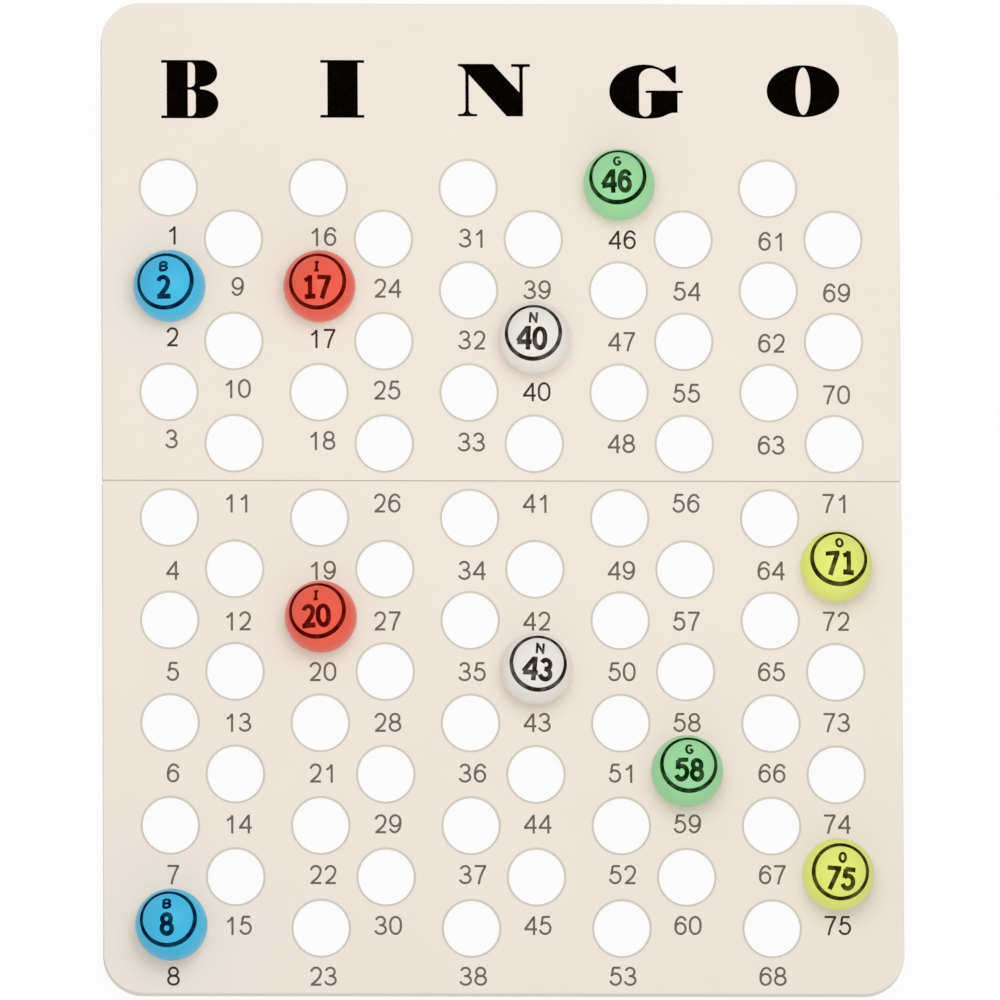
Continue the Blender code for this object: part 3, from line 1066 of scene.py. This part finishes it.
# %% [markdown]
# The print on a ball is bolder than the board's. It has the same figures with a thicker nib, but those with
# straight bars are drawn again so that the bars keep their reach, and there are five plain capitals. Long
# strokes get points close together, so that they can bend round the ball.

# %% Ball letters and figures
STROKE_STEP = 0.0009
BOLD_FIGURES = {
    **FIGURES,
    "1": [line((0.60, -0.12), (0.60, 1.12)), line((0.60, 0.98), (0.06, 0.84)), line((0.04, 0.0), (1.12, 0.0))],
    "2": [
        chain(
            bow((0.5, 0.715), (0.48, 0.285), 165, -28),
            line((0.80, 0.43), (0.56, 0.27), (0.30, 0.12), (0.10, 0.0)),
        ),
        line((-0.16, 0), (1.18, 0)),
    ],
    "4": [line((0.84, -0.12), (0.84, 1.12)), line((0.74, 1.04), (-0.20, 0.32)), line((-0.24, 0.27), (1.22, 0.27))],
    "5": [line((0.10, 1), (1.12, 1)), line((0.15, 1.0), (0.10, 0.52)), bow((0.47, 0.33), (0.53, 0.33), 140, -160)],
    "7": [line((-0.16, 1), (1.18, 1)), line((0.98, 1.0), (0.60, 0.42), (0.26, -0.12))],
}
BALL_LETTERS = {
    "b": [
        line((-0.08, 0), (-0.08, 1)),
        chain(line((-0.08, 1)), bow((0.5, 0.765), (0.50, 0.235), 90, -90), line((-0.08, 0.53))),
        chain(line((-0.08, 0.53)), bow((0.5, 0.265), (0.58, 0.265), 90, -90), line((-0.08, 0))),
    ],
    "i": [line((0.5, 0), (0.5, 1)), line((0.12, 0), (0.88, 0)), line((0.12, 1), (0.88, 1))],
    "n": [line((-0.02, -0.13), (-0.02, 1.13)), line((0.0, 1.0), (1.0, 0.0)), line((1.02, -0.13), (1.02, 1.13))],
    "g": [bow((0.52, 0.5), (0.54, 0.5), 48, 322), line((0.56, 0.44), (1.06, 0.44)), line((1.0, 0.44), (1.0, 0.12))],
    "o": [bow((0.5, 0.5), (0.52, 0.5), 0, 360)],
}


def fine(strokes):
    """Puts points close together along each stroke."""
    made = []
    for points, whole in strokes:
        run = points + points[:1] if whole else points
        dense = [run[0]]
        for (x0, y0), (x1, y1) in zip(run, run[1:]):
            parts = max(1, math.ceil(math.dist((x0, y0), (x1, y1)) / STROKE_STEP))
            dense += [(x0 + (x1 - x0) * i / parts, y0 + (y1 - y0) * i / parts) for i in range(1, parts + 1)]
        made.append((dense[:-1] if whole else dense, whole))
    return made


print("ball letters:", len(BALL_LETTERS))

# %% [markdown]
# Each ball carries a ring with its letter over its number. The print is drawn flat above the ball's pole,
# projected straight down onto a finer sphere with Shrinkwrap, and given the thickness of ink.

# %% Printing a ball
RING_RADIUS = 0.01415
RING_NIB = 0.00182
RING_STEPS = 96
BALL_FIGURE_SIZE = (0.0077, 0.0122)
BALL_FIGURE_ADVANCE = 0.0079
BALL_FIGURE_NIB = 0.0024
BALL_LETTER_SIZE = (0.0044, 0.0062)
BALL_LETTER_NIBS = {"b": 0.00145, "i": 0.00135, "n": 0.00122, "g": 0.0013, "o": 0.0014}
LETTER_UP = 0.0070
NUMBER_DOWN = 0.0040

let_go()
bpy.ops.mesh.primitive_ico_sphere_add(subdivisions=7, radius=SHELL_RADIUS, location=(0, 0, 0))
print_form = named("print_form")


def wrapped(stroke, nib, layer):
    """One stroke, swept flat above the pole and projected down onto the ball."""
    flat = swept("stroke", [stroke], nib)
    lifted(flat, BALL_RADIUS)
    down = {"use_project_z": True, "use_negative_direction": True, "use_positive_direction": False}
    above = (1 + layer % INK_LAYERS) * INK_LAYER
    modify(flat, "SHRINKWRAP", wrap_method="PROJECT", target=print_form, offset=above, **down)
    return flat


def ball_print(name, letter, number):
    ring = [(arc((0, 0), RING_RADIUS, 0, 360, RING_STEPS)[:-1], True)]
    letter_nib = BALL_LETTER_NIBS[letter]
    head = laid_out(letter, BALL_LETTERS, (0, LETTER_UP), BALL_LETTER_SIZE, 0, letter_nib)
    below = (0, -NUMBER_DOWN)
    figures = laid_out(number, BOLD_FIGURES, below, BALL_FIGURE_SIZE, BALL_FIGURE_ADVANCE, BALL_FIGURE_NIB)
    layers = []
    for strokes, nib in ((ring, RING_NIB), (fine(head), letter_nib), (fine(figures), BALL_FIGURE_NIB)):
        layers += [wrapped(stroke, nib, i) for i, stroke in enumerate(strokes)]
    made = joined(layers)
    made.name = made.data.name = name
    modify(made, "SOLIDIFY", thickness=INK, offset=1.0)
    smooth(made, 40)
    return made


print("print form faces:", len(print_form.data.polygons))

# %% [markdown]
# Ball and print are turned together and put in their seat, because every ball has come to rest with its print
# leaning its own way. Two balls stand one seat past their own number, as they were found.

# %% Printed balls
BALL_CENTRE_Z = FACE_Z + 0.01165
# Each ball's seat, and how its print leans right, leans up and turns clockwise from the camera, in degrees
BALLS = {
    "b2": (2, -9.6, 11.2, 0),
    "b8": (8, -7.4, 14.8, 0),
    "i17": (17, -4.6, 11.7, 0),
    "i20": (20, -8.1, 15.3, 0),
    "n40": (40, -3.5, 12.6, 3),
    "n43": (43, 4.6, 12.4, 5),
    "g46": (46, -3.0, 18.9, 0),
    "g58": (59, 3.5, 16.2, 0),
    "o71": (72, 6.0, 19.4, -2),
    "o75": (75, 5.3, 6.7, 5),
}
for name, (seat, right, up, turn) in BALLS.items():
    letter, number = name[0], name[1:]
    ball = copied(plain_ball, f"ball_{name}_shell", (0, 0, 0))
    ink = ball_print(f"ball_{name}_print", letter, number)
    x, y = SEATS[seat]
    lean = Matrix.Rotation(-math.radians(up), 4, "X") @ Matrix.Rotation(math.radians(right), 4, "Y")
    turned = camera_turn @ lean @ Matrix.Rotation(-math.radians(turn), 4, "Z")
    for piece in (ball, ink):
        piece.matrix_world = Matrix.Translation((x, SEAM_Y + y, BALL_CENTRE_Z)) @ turned
        take(piece)
        bpy.ops.object.transform_apply(location=True, rotation=True, scale=True)
    settle(ball, ball_plastic[letter], f"ball_{name}", f"ball_{name}")
    settle(ink, ball_ink[letter], f"ball_{name}")
    print(name, "seat", seat, "print faces:", len(ink.data.polygons))
bpy.data.objects.remove(plain_ball)
bpy.data.objects.remove(print_form)

# %% [markdown]
# Eight rubber feet keep the trays off the table. A foot is a short peg with a rounded base edge and a shallow
# dimple under it. One is shaped and copied under each boss.

# %% Rubber feet
FOOT_RADIUS = 0.0048
DIMPLE_INSET = 0.0022
DIMPLE_DEPTH = 0.0007
DIMPLE_RING = 0.0006
FOOT_ROUND = 0.0008
RIM_BAND = 0.0002
FOOT_NAMES = ("far_left", "far_right", "seam_left", "seam_right")

let_go()
bpy.ops.mesh.primitive_cylinder_add(vertices=40, radius=FOOT_RADIUS, depth=BOSS_Z, location=(0, 0, BOSS_Z / 2))
plain_foot = named("plain_foot")
pick(plain_foot, "FACE", level(0.0))
bpy.ops.mesh.inset(thickness=DIMPLE_INSET)
bpy.ops.mesh.extrude_region_move(TRANSFORM_OT_translate={"value": (0, 0, DIMPLE_DEPTH)})
bpy.ops.mesh.inset(thickness=DIMPLE_RING)
rim = FOOT_RADIUS - RIM_BAND
pick(plain_foot, "EDGE", lambda c: level(0.0)(c) and all(math.hypot(p.x, p.y) > rim for p in c))
bpy.ops.mesh.bevel(offset=FOOT_ROUND, segments=4, affect="EDGES")
outward(plain_foot)
smooth(plain_foot, 35)
for board, places in (("upper", UPPER_FEET), ("lower", LOWER_FEET)):
    for foot_name, (x, y) in zip(FOOT_NAMES, places):
        foot = copied(plain_foot, f"rubber_foot_{board}_{foot_name}", (x, SEAM_Y + y, 0))
        settle(foot, black_rubber, f"{board}_board", f"foot_{board}_{foot_name}")
    print(board, "feet:", len(places))
bpy.data.objects.remove(plain_foot)

# %% [markdown]
# Three steel pins hold the hinge. Each is a straight wire with its ends rounded over.

# %% Hinge pins
PIN_RADIUS = 0.001
PIN_ROUND = 0.0003
PIN_LENGTH = 3 * KNUCKLE_LENGTH + 2 * KNUCKLE_GAP

for pin_name, x in zip(("left", "middle", "right"), HINGE_PLACES):
    pin = bar(x - PIN_LENGTH / 2, x + PIN_LENGTH / 2, PIN_RADIUS, PIN_SIDES)
    pin.name = pin.data.name = f"steel_pin_{pin_name}"
    pick(pin, "EDGE", lambda c: abs(c[0].x - c[1].x) < NEAR)
    bpy.ops.mesh.bevel(offset=PIN_ROUND, segments=3, affect="EDGES")
    smooth(pin, 35)
    settle(pin, steel, "lower_board", f"hinge_pin_{pin_name}")
    print(pin.name, "faces:", len(pin.data.polygons))

# %% [markdown]
# Last, the box round everything that was dressed is measured. Nothing that was added is meant to stand outside
# the solids.

# %% Sizes and finish
low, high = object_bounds()
